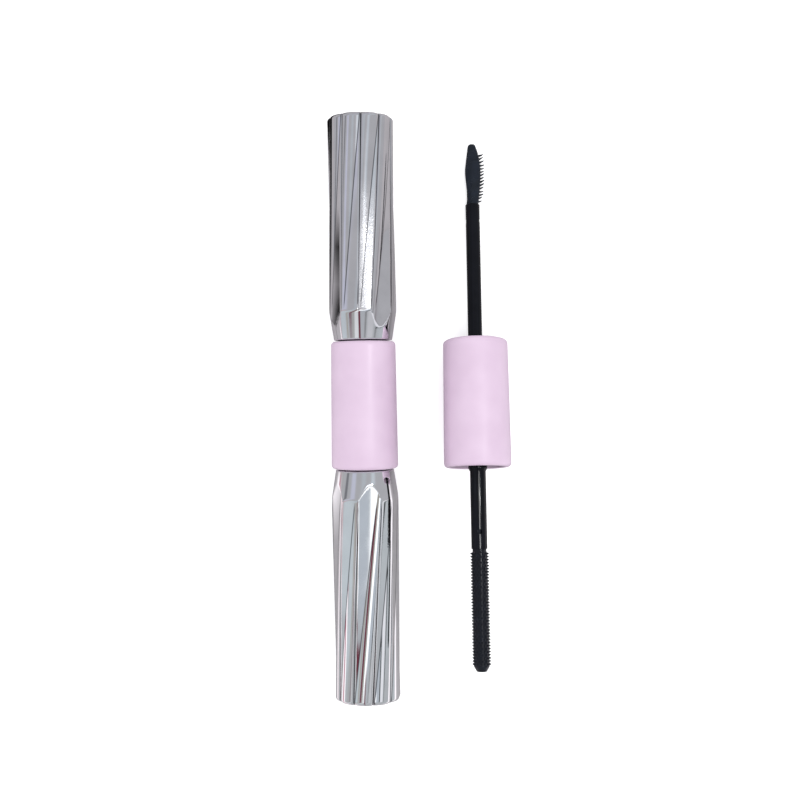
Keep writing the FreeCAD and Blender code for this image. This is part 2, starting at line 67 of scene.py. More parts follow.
# Radii of the collar outside, at each end, and inside; and half the thickness of its disc.
COLLAR_AT_BRUSH = 8.5
COLLAR_AT_COMB = 8.2
COLLAR_BORE = 6.8
DISC_HALF = 0.8
OPEN_TILT = 8.03
CLOSED_UNIT = Matrix.Translation(Vector((-14.3, 1.1, 8.631)) * MM)
OPEN_UNIT = Matrix.Translation(Vector((14.3, 1.1, 10.253)) * MM)
OPEN_UNIT = OPEN_UNIT @ Matrix.Rotation(math.radians(-OPEN_TILT), 4, "X")
WANDS = {"closed": CLOSED_UNIT, "open": OPEN_UNIT}
ENDS = {
    "comb": Matrix.Rotation(math.radians(-90), 4, "X"),
    "brush": Matrix.Rotation(math.radians(90), 4, "X"),
}
SHARP = math.radians(38)


def softened(corners, steps=6):
    """An outline through corners of (radius, height, rounding), with the roundings drawn in."""
    line = []
    for number, (radius, height, rounding) in enumerate(corners):
        here = Vector((radius, height))
        if not rounding:
            line.append(here)
            continue
        before = (Vector(corners[number - 1][:2]) - here).normalized()
        after = (Vector(corners[number + 1][:2]) - here).normalized()
        half = before.angle(after) / 2
        reach = rounding / math.tan(half)
        centre = here + (before + after).normalized() * rounding / math.sin(half)
        start, end = here + before * reach, here + after * reach
        line.append(start + before * 0.04)
        for step in range(steps + 1):
            way = (start - centre).lerp(end - centre, step / steps).normalized()
            line.append(centre + way * rounding)
        line.append(end + after * 0.04)
    return [(point.x, point.y) for point in line]


def bridged(form, rings):
    """Adds the faces between neighbouring rings. A ring may be one vertex, repeated."""
    for low, high in zip(rings, rings[1:]):
        for a in range(len(low)):
            b = (a + 1) % len(low)
            corners = []
            for vert in (low[a], low[b], high[b], high[a]):
                if vert not in corners:
                    corners.append(vert)
            if len(corners) > 2:
                form.faces.new(corners)


def turned(form, line, segments):
    """Adds a turned form to a bmesh, from an outline that starts and ends on the axis."""
    turn = [2 * math.pi * step / segments for step in range(segments)]
    rings = []
    for radius, height in line:
        if radius < 1e-6:
            rings.append([form.verts.new((0, 0, height))] * segments)
        else:
            places = [(radius * math.cos(a), radius * math.sin(a), height) for a in turn]
            rings.append([form.verts.new(place) for place in places])
    bridged(form, rings)


def finished(form, name, place, material, body, node):
    """Makes a piece of a bmesh in millimetres, laid in its place, riding on its body."""
    bmesh.ops.recalc_face_normals(form, faces=form.faces)
    mesh = bpy.data.meshes.new(name)
    form.to_mesh(mesh)
    form.free()
    mesh.transform(place @ Matrix.Scale(MM, 4))
    mesh.shade_smooth()
    mesh.set_sharp_from_angle(angle=SHARP)
    mesh.materials.append(material)
    piece = bpy.data.objects.new(name, mesh)
    bpy.context.scene.collection.objects.link(piece)
    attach(piece, body)
    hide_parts(node)


def feed(tree, socket, value):
    """Gives a node's input another node's output, or a value of its own."""
    if isinstance(value, bpy.types.NodeSocket):
        tree.links.new(value, socket)
    else:
        socket.default_value = value


def maths(tree, operation, *terms):
    """A new maths node's result. Each term is a number or another node's output."""
    node = tree.nodes.new("ShaderNodeMath")
    node.operation = operation
    for socket, term in zip(node.inputs, terms):
        feed(tree, socket, term)
    return node.outputs[0]


def ranged(tree, value, start, end, low=0.0, high=1.0, easing="LINEAR"):
    """A value's place between a start and an end, as a number from low to high."""
    node = tree.nodes.new("ShaderNodeMapRange")
    node.interpolation_type = easing
    for label, bound in (("From Min", start), ("From Max", end), ("To Min", low), ("To Max", high)):
        node.inputs[label].default_value = bound
    tree.links.new(value, node.inputs["Value"])
    return node.outputs["Result"]


def blended(tree, share, below, above):
    """A colour between two. Each of them is a triple or another node's output."""
    node = tree.nodes.new("ShaderNodeMix")
    node.data_type = "RGBA"
    tree.links.new(share, node.inputs["Factor"])
    for side, colour in (("A", below), ("B", above)):
        feed(tree, node.inputs[side], (*colour, 1.0) if isinstance(colour, tuple) else colour)
    return node.outputs["Result"]


def noise(tree, place, scale, detail, distortion=0.0):
    """A noise pattern's value. Its scale is a number or another node's output."""
    node = tree.nodes.new("ShaderNodeTexNoise")
    node.inputs["Detail"].default_value = detail
    node.inputs["Distortion"].default_value = distortion
    tree.links.new(place, node.inputs["Vector"])
    feed(tree, node.inputs["Scale"], scale)
    return node.outputs["Fac"]


def bumped(tree, height, strength, depth, below=None):
    """The normal of a relief of so many millimetres, on top of the normal below it if any."""
    node = tree.nodes.new("ShaderNodeBump")
    node.inputs["Strength"].default_value = strength
    node.inputs["Distance"].default_value = depth * MM
    tree.links.new(height, node.inputs["Height"])
    if below:
        tree.links.new(below, node.inputs["Normal"])
    return node.outputs["Normal"]


def new_group(name, inputs, outputs):
    """An empty shader group. Inputs are names with a default, and outputs are names."""
    group = bpy.data.node_groups.new(name, "ShaderNodeTree")
    for label, default in inputs.items():
        kind = "NodeSocketFloat" if isinstance(default, float) else "NodeSocketVector"
        socket = group.interface.new_socket(label, in_out="INPUT", socket_type=kind)
        socket.default_value = default
    for label in outputs:
        group.interface.new_socket(label, in_out="OUTPUT", socket_type="NodeSocketFloat")
    inward, outward = group.nodes.new("NodeGroupInput"), group.nodes.new("NodeGroupOutput")
    return group, inward.outputs, outward.inputs


def moulded_skin_group():
    """The skin that every moulded piece has: a fine grain, a slow waviness and a faint mottle."""
    inputs = {"Place": (0.0, 0.0, 0.0), "Grain Size": 0.1, "Wave Size": 4.0, "Grain Share": 0.5}
    group, given, made = new_group("moulded_skin", inputs, ["Height", "Mottle"])
    grain = noise(group, given["Place"], maths(group, "DIVIDE", 1 / MM, given["Grain Size"]), 3.0)
    wave = noise(group, given["Place"], maths(group, "DIVIDE", 1 / MM, given["Wave Size"]), 2.0)
    height = group.nodes.new("ShaderNodeMix")
    for label, value in (("Factor", given["Grain Share"]), ("A", wave), ("B", grain)):
        group.links.new(value, height.inputs[label])
    group.links.new(height.outputs["Result"], made["Height"])
    group.links.new(ranged(group, wave, 0.3, 0.7), made["Mottle"])
    return group


def handling_group():
    """What hands leave on a smooth surface: soft smudges, and hairlines along and across it."""
    inputs = {"Place": (0.0, 0.0, 0.0), "Smudge Size": 6.0, "Hairline Share": 0.2}
    group, given, made = new_group("handling_marks", inputs, ["Smudge", "Hairlines"])
    fineness = maths(group, "DIVIDE", 1 / MM, given["Smudge Size"])
    patches = noise(group, given["Place"], fineness, 5.0, 0.8)
    group.links.new(ranged(group, patches, 0.42, 0.68, easing="SMOOTHSTEP"), made["Smudge"])
    strokes = []
    for lean, stretch in ((0.5, (9000, 260, 9000)), (-0.7, (7000, 330, 7000))):
        laid = group.nodes.new("ShaderNodeMapping")
        laid.inputs["Rotation"].default_value = (0.0, 0.0, lean)
        laid.inputs["Scale"].default_value = stretch
        group.links.new(given["Place"], laid.inputs["Vector"])
        stroke = noise(group, laid.outputs["Vector"], 1.0, 1.0)
        strokes.append(ranged(group, stroke, 0.66, 0.72))
    lines = maths(group, "MULTIPLY", maths(group, "MAXIMUM", *strokes), given["Hairline Share"])
    group.links.new(lines, made["Hairlines"])
    return group


MOULDED_SKIN = moulded_skin_group()
HANDLING = handling_group()


def started(name, colours, grain, marks):
    """Starts a finish: its skin and its handling marks, and a colour mottled between two."""
    material = bpy.data.materials.new(name)
    material.use_nodes = True
    tree = material.node_tree
    place = tree.nodes.new("ShaderNodeTexCoord").outputs["Object"]
    effects = []
    for group, values in ((MOULDED_SKIN, grain), (HANDLING, marks)):
        effect = tree.nodes.new("ShaderNodeGroup")
        effect.node_tree = group
        tree.links.new(place, effect.inputs["Place"])
        for socket, value in zip(effect.inputs[1:], values):
            socket.default_value = value
        effects.append(effect.outputs)
    skin, touch = effects
    return material, place, skin, touch, blended(tree, skin["Mottle"], *colours)


def plastic(name, colours, roughness, grain, marks, relief, **settings):
    """A moulded or sprayed finish. Colours, and roughness, are each a pair to range between."""
    material, place, skin, touch, tint = started(name, colours, grain, marks)
    tree = material.node_tree
    shader = tree.nodes["Principled BSDF"].inputs
    for label, value in settings.items():
        shader[label.replace("_", " ")].default_value = value
    tree.links.new(tint, shader["Base Color"])
    tree.links.new(ranged(tree, touch["Smudge"], 0.0, 1.0, *roughness), shader["Roughness"])
    depth = maths(tree, "SUBTRACT", skin["Height"], touch["Hairlines"])
    tree.links.new(bumped(tree, depth, *relief), shader["Normal"])
    return material


satin_lilac = plastic(
    "satin_lilac_lacquer",
    colours=((0.555, 0.425, 0.545), (0.59, 0.46, 0.58)),
    roughness=(0.34, 0.46),
    grain=(0.09, 7.0, 0.7),
    marks=(9.0, 0.05),
    relief=(0.35, 0.012),
    Coat_Weight=0.25,
    Coat_Roughness=0.3,
)

COLLAR_OUTLINE = softened(
    [
        (0, -DISC_HALF, 0),
        (COLLAR_BORE, -DISC_HALF, 0.2),
        (COLLAR_BORE, -COLLAR_END, 0.28),
        (COLLAR_AT_BRUSH, -COLLAR_END, 1.0),
        (COLLAR_AT_COMB, COLLAR_END, 1.0),
        (COLLAR_BORE, COLLAR_END, 0.28),
        (COLLAR_BORE, DISC_HALF, 0.2),
        (0, DISC_HALF, 0),
    ]
)
for unit, place in WANDS.items():
    sleeve = bmesh.new()
    turned(sleeve, COLLAR_OUTLINE, 160)
    lying = place @ ENDS["comb"]
    body = f"{unit}_wand"
    finished(sleeve, f"{unit}_sleeve", lying, satin_lilac, body, f"{unit}_collar")

# ------------------------------------------------------------------------------- the sockets
# A threaded cup pressed into each end of a collar. It is given a plain black finish, which makes
# the collar's open end dark inside, and its floor holds the rod.

black_moulding = plastic(
    "plain_black_moulding",
    colours=((0.017, 0.015, 0.017), (0.026, 0.023, 0.026)),
    roughness=(0.32, 0.45),
    grain=(0.12, 3.0, 0.6),
    marks=(5.0, 0.0),
    relief=(0.3, 0.01),
    Specular_IOR_Level=0.35,
)


def smooth_copy(node, material, body):
    """A piece in a CAD node's shape, with its loose triangles merged so that it shades smoothly."""
    form = bmesh.new()
    form.from_mesh(frame["nodes"][node].data)
    bmesh.ops.remove_doubles(form, verts=form.verts, dist=1e-7)
    bmesh.ops.scale(form, vec=(1 / MM,) * 3, verts=form.verts)
    finished(form, f"{node}_piece", Matrix(), material, body, node)


for unit in WANDS:
    for end in ENDS:
        smooth_copy(f"{unit}_{end}_socket", black_moulding, f"{unit}_wand")

# ------------------------------------------------------------------------------- the gaskets
# A soft ring lies on the floor of each socket, and the vial's wiper closes against it.

soft_ring = plastic(
    "soft_ring",
    colours=((0.62, 0.61, 0.58), (0.68, 0.67, 0.64)),
    roughness=(0.55, 0.7),
    grain=(0.15, 2.5, 0.8),
    marks=(3.0, 0.0),
    relief=(0.4, 0.02),
    Subsurface_Weight=0.2,
    Subsurface_Scale=0.001,
)
for unit in WANDS:
    for end in ENDS:
        smooth_copy(f"{unit}_{end}_gasket", soft_ring, f"{unit}_wand")

# ---------------------------------------------------------------------------------- the rods
# A glossy black moulded rod stands in each socket. It has a thicker root, and two round windows
# near its tip in which the peg of the applicator snaps home.

ROD_HEAD = (3.4, 0.85, 2.05)  # radius, and the heights of its foot and its top
ROD_ROOT = (2.4, 16.4)  # radius, and the height of its top
ROD_BORE = (1.15, 7.0)  # radius and depth
WINDOW_RADIUS = 0.65
WINDOW_SETBACK = 4.3
# Radius, height of the tip above the collar's middle, and the axis that the windows lie along.
RODS = {"comb": (1.82, 51.9, "X"), "brush": (2.0, 36.6, "Y")}

gloss_black = plastic(
    "gloss_black_moulding",
    colours=((0.0015, 0.0018, 0.003), (0.003, 0.0035, 0.0055)),
    roughness=(0.09, 0.16),
    grain=(0.25, 5.0, 0.25),
    marks=(4.0, 0.05),
    relief=(0.25, 0.010),
    Specular_IOR_Level=0.2,
)


def cross_pin(form, end, radius, length, segments):
    """Adds a round pin that lies across a rod, at the height of its windows."""
    tip, across = RODS[end][1:]
    turn = Matrix.Rotation(math.radians(90), 4, "Y" if across == "X" else "X")
    place = Matrix.Translation((0, 0, tip - WINDOW_SETBACK)) @ turn
    round_ends = {"cap_ends": True, "segments": segments, "radius1": radius, "radius2": radius}
    bmesh.ops.create_cone(form, depth=length, matrix=place, **round_ends)


def drilled(form, hole):
    """The first form with the second cut out of it."""
    solids = []
    for name, part in (("stem", form), ("drill", hole)):
        mesh = bpy.data.meshes.new(name)
        part.to_mesh(mesh)
        part.free()
        solids.append(bpy.data.objects.new(name, mesh))
        bpy.context.scene.collection.objects.link(solids[-1])
    cut = solids[0].modifiers.new("windows", "BOOLEAN")
    cut.object = solids[1]
    cut.solver = "EXACT"
    bpy.context.view_layer.update()
    evaluated = solids[0].evaluated_get(bpy.context.evaluated_depsgraph_get())
    form = bmesh.new()
    form.from_mesh(bpy.data.meshes.new_from_object(evaluated))
    for solid in solids:
        bpy.data.objects.remove(solid)
    return form


def rod(unit, end):
    """One rod, with its windows cut through it."""
    radius, tip = RODS[end][:2]
    head_radius, head_foot, head_top = ROD_HEAD
    root_radius, root_top = ROD_ROOT
    bore_radius, bore_depth = ROD_BORE
    outline = softened(
        [
            (0, head_foot, 0),
            (head_radius, head_foot, 0.15),
            (head_radius, head_top, 0.15),
            (root_radius, head_top, 0.1),
            (root_radius, root_top, 0.4),
            (radius, root_top + 0.8, 0.4),
            (radius, tip, 0.12),
            (bore_radius, tip, 0.05),
            (bore_radius, tip - bore_depth, 0.05),
            (0, tip - bore_depth, 0),
        ]
    )
    form = bmesh.new()
    turned(form, outline, 64)
    bmesh.ops.recalc_face_normals(form, faces=form.faces)
    hole = bmesh.new()
    cross_pin(hole, end, WINDOW_RADIUS, 6.0, 32)
    finished(
        drilled(form, hole),
        f"{unit}_{end}_stem",
        WANDS[unit] @ ENDS[end],
        gloss_black,
        f"{unit}_wand",
        f"{unit}_{end}_rod",
    )


for unit in WANDS:
    for end in ENDS:
        rod(unit, end)

# -------------------------------------------------------------------------- the brush heads
# A moulded brush of blue-black elastomer: a thick core with close rings of short round nubs,
# each ring turned half a step from the last, and a blunt tip. Its shank is pegged in the rod.

BRUSH_FOOT = RODS["brush"][1]
BRUSH_END = BRUSH_FOOT + 30.0
BRUSH_COLLAR = 1.75
BRUSH_CORE = 1.95
BRUSH_TURN = 9
SHANK = (1.1, 6.5)  # radius and length
PEG_RADIUS = 0.6

blue_black_nubs = plastic(
    "blue_black_elastomer",
    colours=((0.004, 0.005, 0.008), (0.006, 0.008, 0.013)),
    roughness=(0.16, 0.26),
    grain=(0.12, 1.6, 0.5),
    marks=(2.0, 0.0),
    relief=(0.3, 0.015),
    Specular_IOR_Level=0.3,
)


def opened_tree(name, settings):
    """A Geometry Nodes tree with a named input for each setting, and the inputs' identifiers."""
    tree = bpy.data.node_groups.new(name, "GeometryNodeTree")
    face = tree.interface
    face.new_socket("Geometry", in_out="INPUT", socket_type="NodeSocketGeometry")
    inputs = {}
    for label, value in settings.items():
        kind = "NodeSocketInt" if isinstance(value, int) else "NodeSocketFloat"
        socket = face.new_socket(label, in_out="INPUT", socket_type=kind)
        socket.default_value = value
        inputs[label] = socket.identifier
    skin = face.new_socket("Skin", in_out="INPUT", socket_type="NodeSocketMaterial")
    inputs["Skin"] = skin.identifier
    face.new_socket("Geometry", in_out="OUTPUT", socket_type="NodeSocketGeometry")
    return tree, inputs, tree.nodes.new("NodeGroupInput").outputs


def vector_of(tree, **parts):
    """A vector from its parts along X, Y and Z. A part that is left out is 0."""
    node = tree.nodes.new("ShaderNodeCombineXYZ")
    for axis, part in parts.items():
        tree.links.new(part, node.inputs[axis])
    return node.outputs[0]


def scaled(tree, vector, factor):
    """A vector made longer or shorter by another node's output."""
    node = tree.nodes.new("ShaderNodeVectorMath")
    node.operation = "SCALE"
    tree.links.new(vector, node.inputs[0])
    tree.links.new(factor, node.inputs["Scale"])
    return node.outputs[0]


def by_chance(tree, low, high, seed):
    """A number between two for each point."""
    node = tree.nodes.new("FunctionNodeRandomValue")
    feed(tree, node.inputs[2], low)
    feed(tree, node.inputs[3], high)
    tree.links.new(seed, node.inputs["Seed"])
    return node.outputs[1]


def planted(tree, given, count, position, shape, rotation, scale):
    """Ends a tree: smooth shapes on points, joined to the form that came in, with their skin."""
    nodes, links = tree.nodes, tree.links
    points = nodes.new("GeometryNodePoints")
    links.new(count, points.inputs["Count"])
    links.new(position, points.inputs["Position"])
    smooth = nodes.new("GeometryNodeSetShadeSmooth")
    links.new(shape, smooth.inputs["Geometry"])
    placed = nodes.new("GeometryNodeInstanceOnPoints")
    links.new(points.outputs[0], placed.inputs["Points"])
    links.new(smooth.outputs[0], placed.inputs["Instance"])
    links.new(rotation, placed.inputs["Rotation"])
    links.new(scale, placed.inputs["Scale"])
    joined = nodes.new("GeometryNodeJoinGeometry")
    links.new(given["Geometry"], joined.inputs[0])
    links.new(placed.outputs[0], joined.inputs[0])
    real = nodes.new("GeometryNodeRealizeInstances")
    links.new(joined.outputs[0], real.inputs[0])
    skin = nodes.new("GeometryNodeSetMaterial")
    links.new(real.outputs[0], skin.inputs["Geometry"])
    links.new(given["Skin"], skin.inputs["Material"])
    links.new(skin.outputs[0], nodes.new("NodeGroupOutput").inputs[0])


def nub_rings_tree():
    """Nubs set round and along a core, by their number: the rings alternate by half a step."""
    settings = {
        "Rings": 37,
        "Nubs in a Ring": 12,
        "Ring Pitch": 0.75,
        "First Ring": BRUSH_FOOT + 1.125,
        "Core Radius": 1.93,
        "Nub Width": 0.33,
        "Nub Length": 0.27,
        "Nub Height": 0.44,
        "Unevenness": 0.12,
        "Seed": 7,
    }
    tree, inputs, given = opened_tree("nub_rings", settings)
    in_a_ring = given["Nubs in a Ring"]
    index = tree.nodes.new("GeometryNodeInputIndex").outputs[0]
    ring = maths(tree, "DIVIDE", maths(tree, "ADD", index, 0.5), in_a_ring)
    ring = maths(tree, "FLOOR", ring)
    offset = maths(tree, "MULTIPLY", maths(tree, "MODULO", ring, 2.0), 0.5)
    slot = maths(tree, "ADD", maths(tree, "MODULO", index, in_a_ring), offset)
    turn = maths(tree, "DIVIDE", maths(tree, "MULTIPLY", slot, 2 * math.pi), in_a_ring)
    radial = vector_of(tree, X=maths(tree, "COSINE", turn), Y=maths(tree, "SINE", turn))
    on_core = scaled(tree, radial, given["Core Radius"])
    height = maths(tree, "MULTIPLY", ring, given["Ring Pitch"])
    height = maths(tree, "ADD", given["First Ring"], height)
    position = tree.nodes.new("ShaderNodeVectorMath")
    tree.links.new(on_core, position.inputs[0])
    tree.links.new(vector_of(tree, Z=height), position.inputs[1])
    outwards = tree.nodes.new("FunctionNodeAlignRotationToVector")
    outwards.axis = "X"
    tree.links.new(radial, outwards.inputs["Vector"])
    extent = {"X": given["Nub Height"], "Y": given["Nub Width"], "Z": given["Nub Length"]}
    least = maths(tree, "SUBTRACT", 1.0, given["Unevenness"])
    chance = by_chance(tree, least, 1.0, given["Seed"])
    nub = tree.nodes.new("GeometryNodeMeshUVSphere")
    for label, value in (("Segments", 8), ("Rings", 6), ("Radius", 1.0)):
        nub.inputs[label].default_value = value
    planted(
        tree,
        given,
        maths(tree, "MULTIPLY", given["Rings"], in_a_ring),
        position.outputs[0],
        nub.outputs["Mesh"],
        outwards.outputs[0],
        scaled(tree, vector_of(tree, **extent), chance),
    )
    return tree, inputs


def grown(form, name, recipe, chosen, place, body, node):
    """Runs a Geometry Nodes tree on a bmesh in millimetres, and makes an applicator of it."""
    bmesh.ops.recalc_face_normals(form, faces=form.faces)
    base = bpy.data.meshes.new(name)
    form.to_mesh(base)
    form.free()
    base.shade_smooth()
    base.set_sharp_from_angle(angle=SHARP)
    piece = bpy.data.objects.new(name, base)
    bpy.context.scene.collection.objects.link(piece)
    tree, inputs = recipe
    grow = piece.modifiers.new("grow", "NODES")
    grow.node_group = tree
    for label, value in chosen.items():
        grow[inputs[label]] = value
    bpy.context.view_layer.update()
    evaluated = piece.evaluated_get(bpy.context.evaluated_depsgraph_get())
    mesh = bpy.data.meshes.new_from_object(evaluated)
    piece.modifiers.clear()
    piece.data = mesh
    mesh.transform(place @ Matrix.Scale(MM, 4))
    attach(piece, body)
    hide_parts(node)


NUB_RINGS = nub_rings_tree()
BRUSH_OUTLINE = softened(
    [
        (0, BRUSH_FOOT - SHANK[1], 0),
        (SHANK[0], BRUSH_FOOT - SHANK[1], 0.15),
        (SHANK[0], BRUSH_FOOT, 0),
        (BRUSH_COLLAR, BRUSH_FOOT, 0.08),
        (BRUSH_COLLAR, BRUSH_FOOT + 0.63, 0.1),
        (BRUSH_CORE, BRUSH_FOOT + 0.9, 0.1),
        (BRUSH_CORE, BRUSH_END - 1.3, 0.3),
        (1.2, BRUSH_END, 0.5),
        (0, BRUSH_END, 0),
    ]
)
for unit, place in WANDS.items():
    brush = bmesh.new()
    turned(brush, BRUSH_OUTLINE, 48)
    cross_pin(brush, "brush", PEG_RADIUS, 2 * RODS["brush"][0] - 0.3, 24)
    chosen = {"Seed": 7 if unit == "closed" else 11, "Skin": blue_black_nubs}
    lying = place @ ENDS["brush"] @ Matrix.Rotation(math.radians(BRUSH_TURN), 4, "Z")
    body = f"{unit}_wand"
    grown(brush, f"{unit}_brush", NUB_RINGS, chosen, lying, body, f"{unit}_brush_head")

# --------------------------------------------------------------------------- the comb heads
# A moulded comb of the same elastomer: a leaf with a ridge down each face, a flat facet beside
# the teeth and a bevel down to the back, and one row of short hooked teeth.

COMB_FOOT = RODS["comb"][1]
COMB_LENGTH = 16.2
# Share of the length, back, ridge, front, and half the thickness at the ridge.
LEAF_STATIONS = [
    (0.00, -1.55, -0.25, 1.50, 1.26),
    (0.10, -1.38, -0.22, 1.72, 1.27),
    (0.25, -1.40, -0.20, 1.98, 1.28),
    (0.40, -1.62, -0.20, 2.17, 1.27),
    (0.52, -1.78, -0.18, 2.26, 1.24),
    (0.60, -1.74, -0.16, 2.24, 1.18),
    (0.70, -1.52, -0.10, 2.08, 1.06),
    (0.80, -1.30, -0.05, 1.82, 0.94),
    (0.90, -1.08, 0.00, 1.42, 0.84),
    (0.97, -0.92, 0.00, 1.05, 0.76),
    (1.00, -0.66, 0.00, 0.74, 0.55),
]

blue_black_leaf = plastic(
    "blue_black_leaf",
    colours=((0.005, 0.008, 0.013), (0.008, 0.012, 0.020)),
    roughness=(0.22, 0.34),
    grain=(0.14, 2.2, 0.45),
    marks=(2.5, 0.05),
    relief=(0.3, 0.015),
    Specular_IOR_Level=0.3,
)


def leaf_section(back, ridge, front, thick):
    """The leaf's outline at one height: rounded back, bevel, ridge, flat facet, tooth edge."""
    flat = thick * 0.93
    upper = [
        (back, thick * 0.16),
        (back + 0.07, thick * 0.34),
        (back + 0.20, thick * 0.48),
        (ridge - 0.10, thick * 0.955),
        (ridge, thick * 0.995),
        (ridge + 0.12, thick),
        (ridge + (front - ridge) * 0.5, thick * 0.97),
        (front - 0.30, flat),
        (front - 0.12, flat * 0.86),
        (front, flat * 0.55),
    ]
    lower = [(x, -y) for x, y in reversed(upper)]
    return upper + lower


def add_leaf(form):
    """The leaf, as sections joined from its rod to its tip."""
    rings = []
    for share, back, ridge, front, thick in LEAF_STATIONS:
        height = COMB_FOOT + COMB_LENGTH * share
        section = leaf_section(back, ridge, front, thick)
        rings.append([form.verts.new((x, y, height)) for x, y in section])
    bridged(form, rings)
    form.faces.new(rings[0][::-1])
    form.faces.new(rings[-1])


def comb_teeth_tree():
    """One row of hooked teeth along the leaf's front, which follows the leaf's curve."""
    settings = {
        "Teeth": 15,
        "Tooth Pitch": 0.88,
        "First Tooth": COMB_FOOT + 0.85,
        "Front at Foot": 1.45,
        "Front Bulge": 0.72,
        "Tooth Length": 1.22,
        "Tooth Width": 0.32,
        "Hook": 0.4,
        "Unevenness": 0.22,
        "Seed": 3,
    }
    tree, inputs, given = opened_tree("comb_teeth", settings)
    nodes, links = tree.nodes, tree.links
    index = nodes.new("GeometryNodeInputIndex").outputs[0]
    share = maths(tree, "DIVIDE", index, maths(tree, "SUBTRACT", given["Teeth"], 1.0))
    arch = maths(tree, "SINE", maths(tree, "MULTIPLY", share, 2.6))
    front = maths(tree, "MULTIPLY", arch, given["Front Bulge"])
    front = maths(tree, "ADD", given["Front at Foot"], front)
    height = maths(tree, "MULTIPLY", index, given["Tooth Pitch"])
    height = maths(tree, "ADD", given["First Tooth"], height)

    path = nodes.new("GeometryNodeCurveQuadraticBezier")
    path.inputs["Resolution"].default_value = 5
    path.inputs["Start"].default_value = (-0.35, 0.0, -0.1)
    halfway = maths(tree, "MULTIPLY", given["Tooth Length"], 0.55)
    lifted = maths(tree, "MULTIPLY", given["Hook"], 0.1)
    links.new(vector_of(tree, X=halfway, Z=lifted), path.inputs["Middle"])
    links.new(vector_of(tree, X=given["Tooth Length"], Z=given["Hook"]), path.inputs["End"])
    along = nodes.new("GeometryNodeSplineParameter").outputs["Factor"]
    taper = maths(tree, "MULTIPLY", maths(tree, "POWER", along, 1.6), 0.72)
    taper = maths(tree, "SUBTRACT", 1.0, taper)
    section = nodes.new("GeometryNodeCurvePrimitiveCircle")
    section.inputs["Resolution"].default_value = 8
    links.new(given["Tooth Width"], section.inputs["Radius"])
    tooth = nodes.new("GeometryNodeCurveToMesh")
    links.new(path.outputs[0], tooth.inputs["Curve"])
    links.new(section.outputs[0], tooth.inputs["Profile Curve"])
    links.new(taper, tooth.inputs["Scale"])
    tooth.inputs["Fill Caps"].default_value = True

    lean = by_chance(tree, -0.16, 0.16, maths(tree, "ADD", given["Seed"], 5))
    least = maths(tree, "SUBTRACT", 1.0, given["Unevenness"])
    planted(
        tree,
        given,
        given["Teeth"],
        vector_of(tree, X=front, Z=height),
        tooth.outputs[0],
        vector_of(tree, Y=lean),
        by_chance(tree, least, 1.0, given["Seed"]),
    )
    return tree, inputs


COMB_TEETH = comb_teeth_tree()
SHANK_OUTLINE = softened(
    [
        (0, COMB_FOOT - SHANK[1], 0),
        (SHANK[0], COMB_FOOT - SHANK[1], 0.15),
        (SHANK[0], COMB_FOOT + 0.3, 0),
        (0, COMB_FOOT + 0.3, 0),
    ]
)
for unit, place in WANDS.items():
    comb = bmesh.new()
    turned(comb, SHANK_OUTLINE, 32)
    cross_pin(comb, "comb", PEG_RADIUS, 2 * RODS["comb"][0] - 0.3, 24)
    add_leaf(comb)
    chosen = {"Seed": 3 if unit == "closed" else 8, "Skin": blue_black_leaf}
    lying = place @ ENDS["comb"]
    body = f"{unit}_wand"
    grown(comb, f"{unit}_comb", COMB_TEETH, chosen, lying, body, f"{unit}_comb_head")

# -------------------------------------------------------------------------------- the wipers
# A soft, milky moulded funnel is pressed into each bottle's neck. Its orifice strips the rod.

milky_wiper = plastic(
    "milky_wiper",
    colours=((0.60, 0.60, 0.57), (0.68, 0.68, 0.65)),
    roughness=(0.30, 0.42),
    grain=(0.15, 2.5, 0.5),
    marks=(3.0, 0.0),
    relief=(0.3, 0.012),
    Subsurface_Weight=0.35,
    Subsurface_Scale=0.0015,
)
for end in ENDS:
    smooth_copy(f"{end}_wiper", milky_wiper, f"{end}_wiper_insert")

# ------------------------------------------------------------------------------- the bottles
# A smooth black moulded bottle holds the mascara. Its neck has a two-start thread, and its body
# is cemented into the plated shell.

bottle_black = plastic(
    "bottle_black_moulding",
    colours=((0.030, 0.030, 0.034), (0.040, 0.040, 0.045)),
    roughness=(0.22, 0.34),
    grain=(0.2, 4.0, 0.4),
    marks=(5.0, 0.1),
    relief=(0.3, 0.012),
)
for end in ENDS:
    smooth_copy(f"{end}_bottle", bottle_black, f"{end}_vial")

# -------------------------------------------------------------------------- the plated shells
# A moulded plastic shell, vacuum plated mirror-bright, is cemented round each bottle. Its ten
# panels twist from flat facets at the collar to round lobes at the closed end, and painted shade
# darkens the plating along its grooves and creases.

SHELL_FOOT = 16.5
SHELL_BORE = 6.45
SHELL_FLOOR = 1.7
RIDGE = 8.6
FACET_DROP = 0.5
RIB_RADIUS = 4.3
CREASE_AT_COLLAR = 0.08
CREASE_AT_END = 0.94
CREASE_EASE = 0.03
HOLLOW = 0.13
GROOVE_DEPTH = 0.45
GROOVE_WIDTH = 0.45
# Width of the painted shade lines along the grooves and creases.
SHADE_LINE_WIDTH = 0.22
NECK = 7.4
NECK_CONE = 8.2
NECK_EASE = 0.06
ENVELOPE = 8.7
END_ROUNDING = 0.85
LIP_HEIGHT = 0.22
LIP_ROUNDING = 0.16
# Height from the neck at which the painted shade lines start.
SHADE_LINE_START = 7.5
SCUFF_START = 7.2
SCUFF_END = 40.0
CLOSE_RINGS = (10.5, 0.16)  # how far up the shell they reach, and their spacing
WIDE_RINGS = 0.6
# Places across a panel's rib and across its facet, closest together at the creases.
LOBE_STEPS = [0, 0.012, 0.03, 0.055, 0.09, 0.15, 0.22, 0.3, 0.4, 0.5, 0.6, 0.7]
LOBE_STEPS += [0.79, 0.86, 0.915, 0.955, 0.985]
FACET_STEPS = [0, 0.015, 0.04, 0.075, 0.13, 0.22, 0.34, 0.48, 0.62, 0.75, 0.85, 0.92, 0.96, 0.985]
